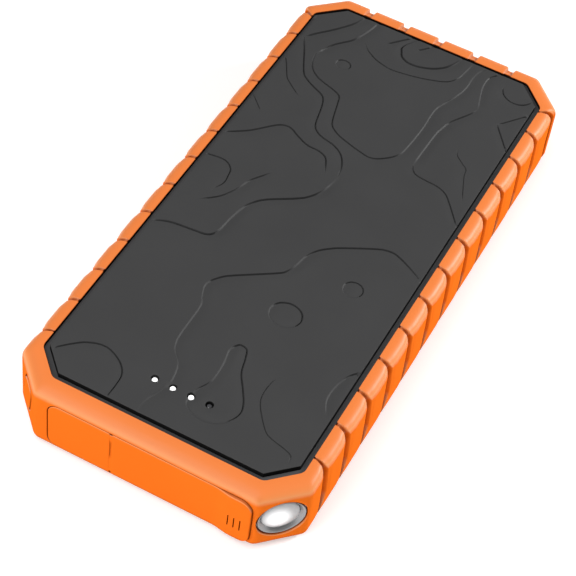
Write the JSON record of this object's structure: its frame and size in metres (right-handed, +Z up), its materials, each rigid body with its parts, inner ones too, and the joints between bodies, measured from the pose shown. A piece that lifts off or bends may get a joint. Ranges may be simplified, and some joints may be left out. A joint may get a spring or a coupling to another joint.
{
  "type": "rugged power bank",
  "caption": "Rugged power bank in a ribbed rubber sleeve, with a corner torch, a press key, charge windows and a hinged sealing flap over its sockets.",
  "frame": {"origin": "centre of the resting face, under the middle of the bank", "axes": "+X across the width towards the torch corner, +Y along the length away from the sockets, +Z up from the resting face"},
  "size_m": [0.0842, 0.1807, 0.022],
  "materials": {
    "sleeve_rubber": "satin moulded orange elastomer",
    "case_plastic": "fine textured dark plastic",
    "panel_plastic": "soft-touch dark grey",
    "seal_rubber": "smooth black rubber",
    "screw_steel": "plated steel",
    "cell_pouch": "laminated foil pouch",
    "pad_foam": "closed-cell foam",
    "tab_nickel": "nickel strip",
    "circuit_board": "green solder mask",
    "led_board": "white solder mask on aluminium",
    "chip_black": "moulded package",
    "socket_steel": "tin-plated steel",
    "socket_plastic": "orange socket insulator",
    "tongue_black": "black socket insulator",
    "choke_grey": "ferrite choke",
    "capacitor_can": "rolled can",
    "led_white": "LED package",
    "lit_window": "diffusing light pipe",
    "clear_plastic": "smoked light pipe",
    "torch_clear": "clear moulded lens",
    "bezel_metal": "satin metal ring",
    "reflector_chrome": "vacuum-metallised bowl",
    "switch_plastic": "switch actuator",
    "switch_steel": "tactile switch case",
    "lead_red": "insulated lead",
    "lead_white": "insulated lead"
  },
  "bodies": {
    "housing": {"outer_bumper": "sleeve_rubber", "cover_anchor": "sleeve_rubber", "lower_case": "case_plastic", "upper_case": "case_plastic", "top_panel": "panel_plastic", "case_gasket": "seal_rubber", "torch_seal_ring": "seal_rubber", "case_screws": "screw_steel", "board_screws": "screw_steel", "battery_cell_lower": "cell_pouch", "battery_cell_upper": "cell_pouch", "cell_divider_pad": "pad_foam", "cell_end_pad": "pad_foam", "cell_tabs": "tab_nickel", "protection_board": "circuit_board", "main_board": "circuit_board", "torch_board": "led_board", "button_board": "circuit_board", "protection_chips": "chip_black", "control_chips": "chip_black", "usb_a_shells": "socket_steel", "usb_c_shell": "socket_steel", "usb_a_tongues": "socket_plastic", "usb_c_tongue": "tongue_black", "power_inductors": "choke_grey", "board_capacitors": "capacitor_can", "charge_leds": "led_white", "torch_led": "led_white", "charge_light_pipes": "lit_window", "full_charge_light_pipe": "clear_plastic", "torch_lens": "torch_clear", "torch_bezel": "bezel_metal", "torch_reflector": "reflector_chrome", "button_switch": "switch_steel", "battery_leads": "lead_red", "torch_leads": "lead_white", "button_leads": "lead_white"},
    "flap": {"port_flap": "sleeve_rubber"},
    "key": {"power_button": "sleeve_rubber", "button_plunger": "switch_plastic"}
  },
  "joints": [
    {"name": "flap_hinge", "type": "hinge", "parent": "housing", "child": "flap", "pos_m": [-0.0095, -0.09, 0.0101], "axis": [0, 0, -1], "range_deg": [0, 105]},
    {"name": "key_press", "type": "slide", "parent": "housing", "child": "key", "axis": [0.7071, 0.7071, 0], "range_m": [0, 0.0006], "stiffness_N_per_m": 1500, "springref_m": -0.0004}
  ]
}
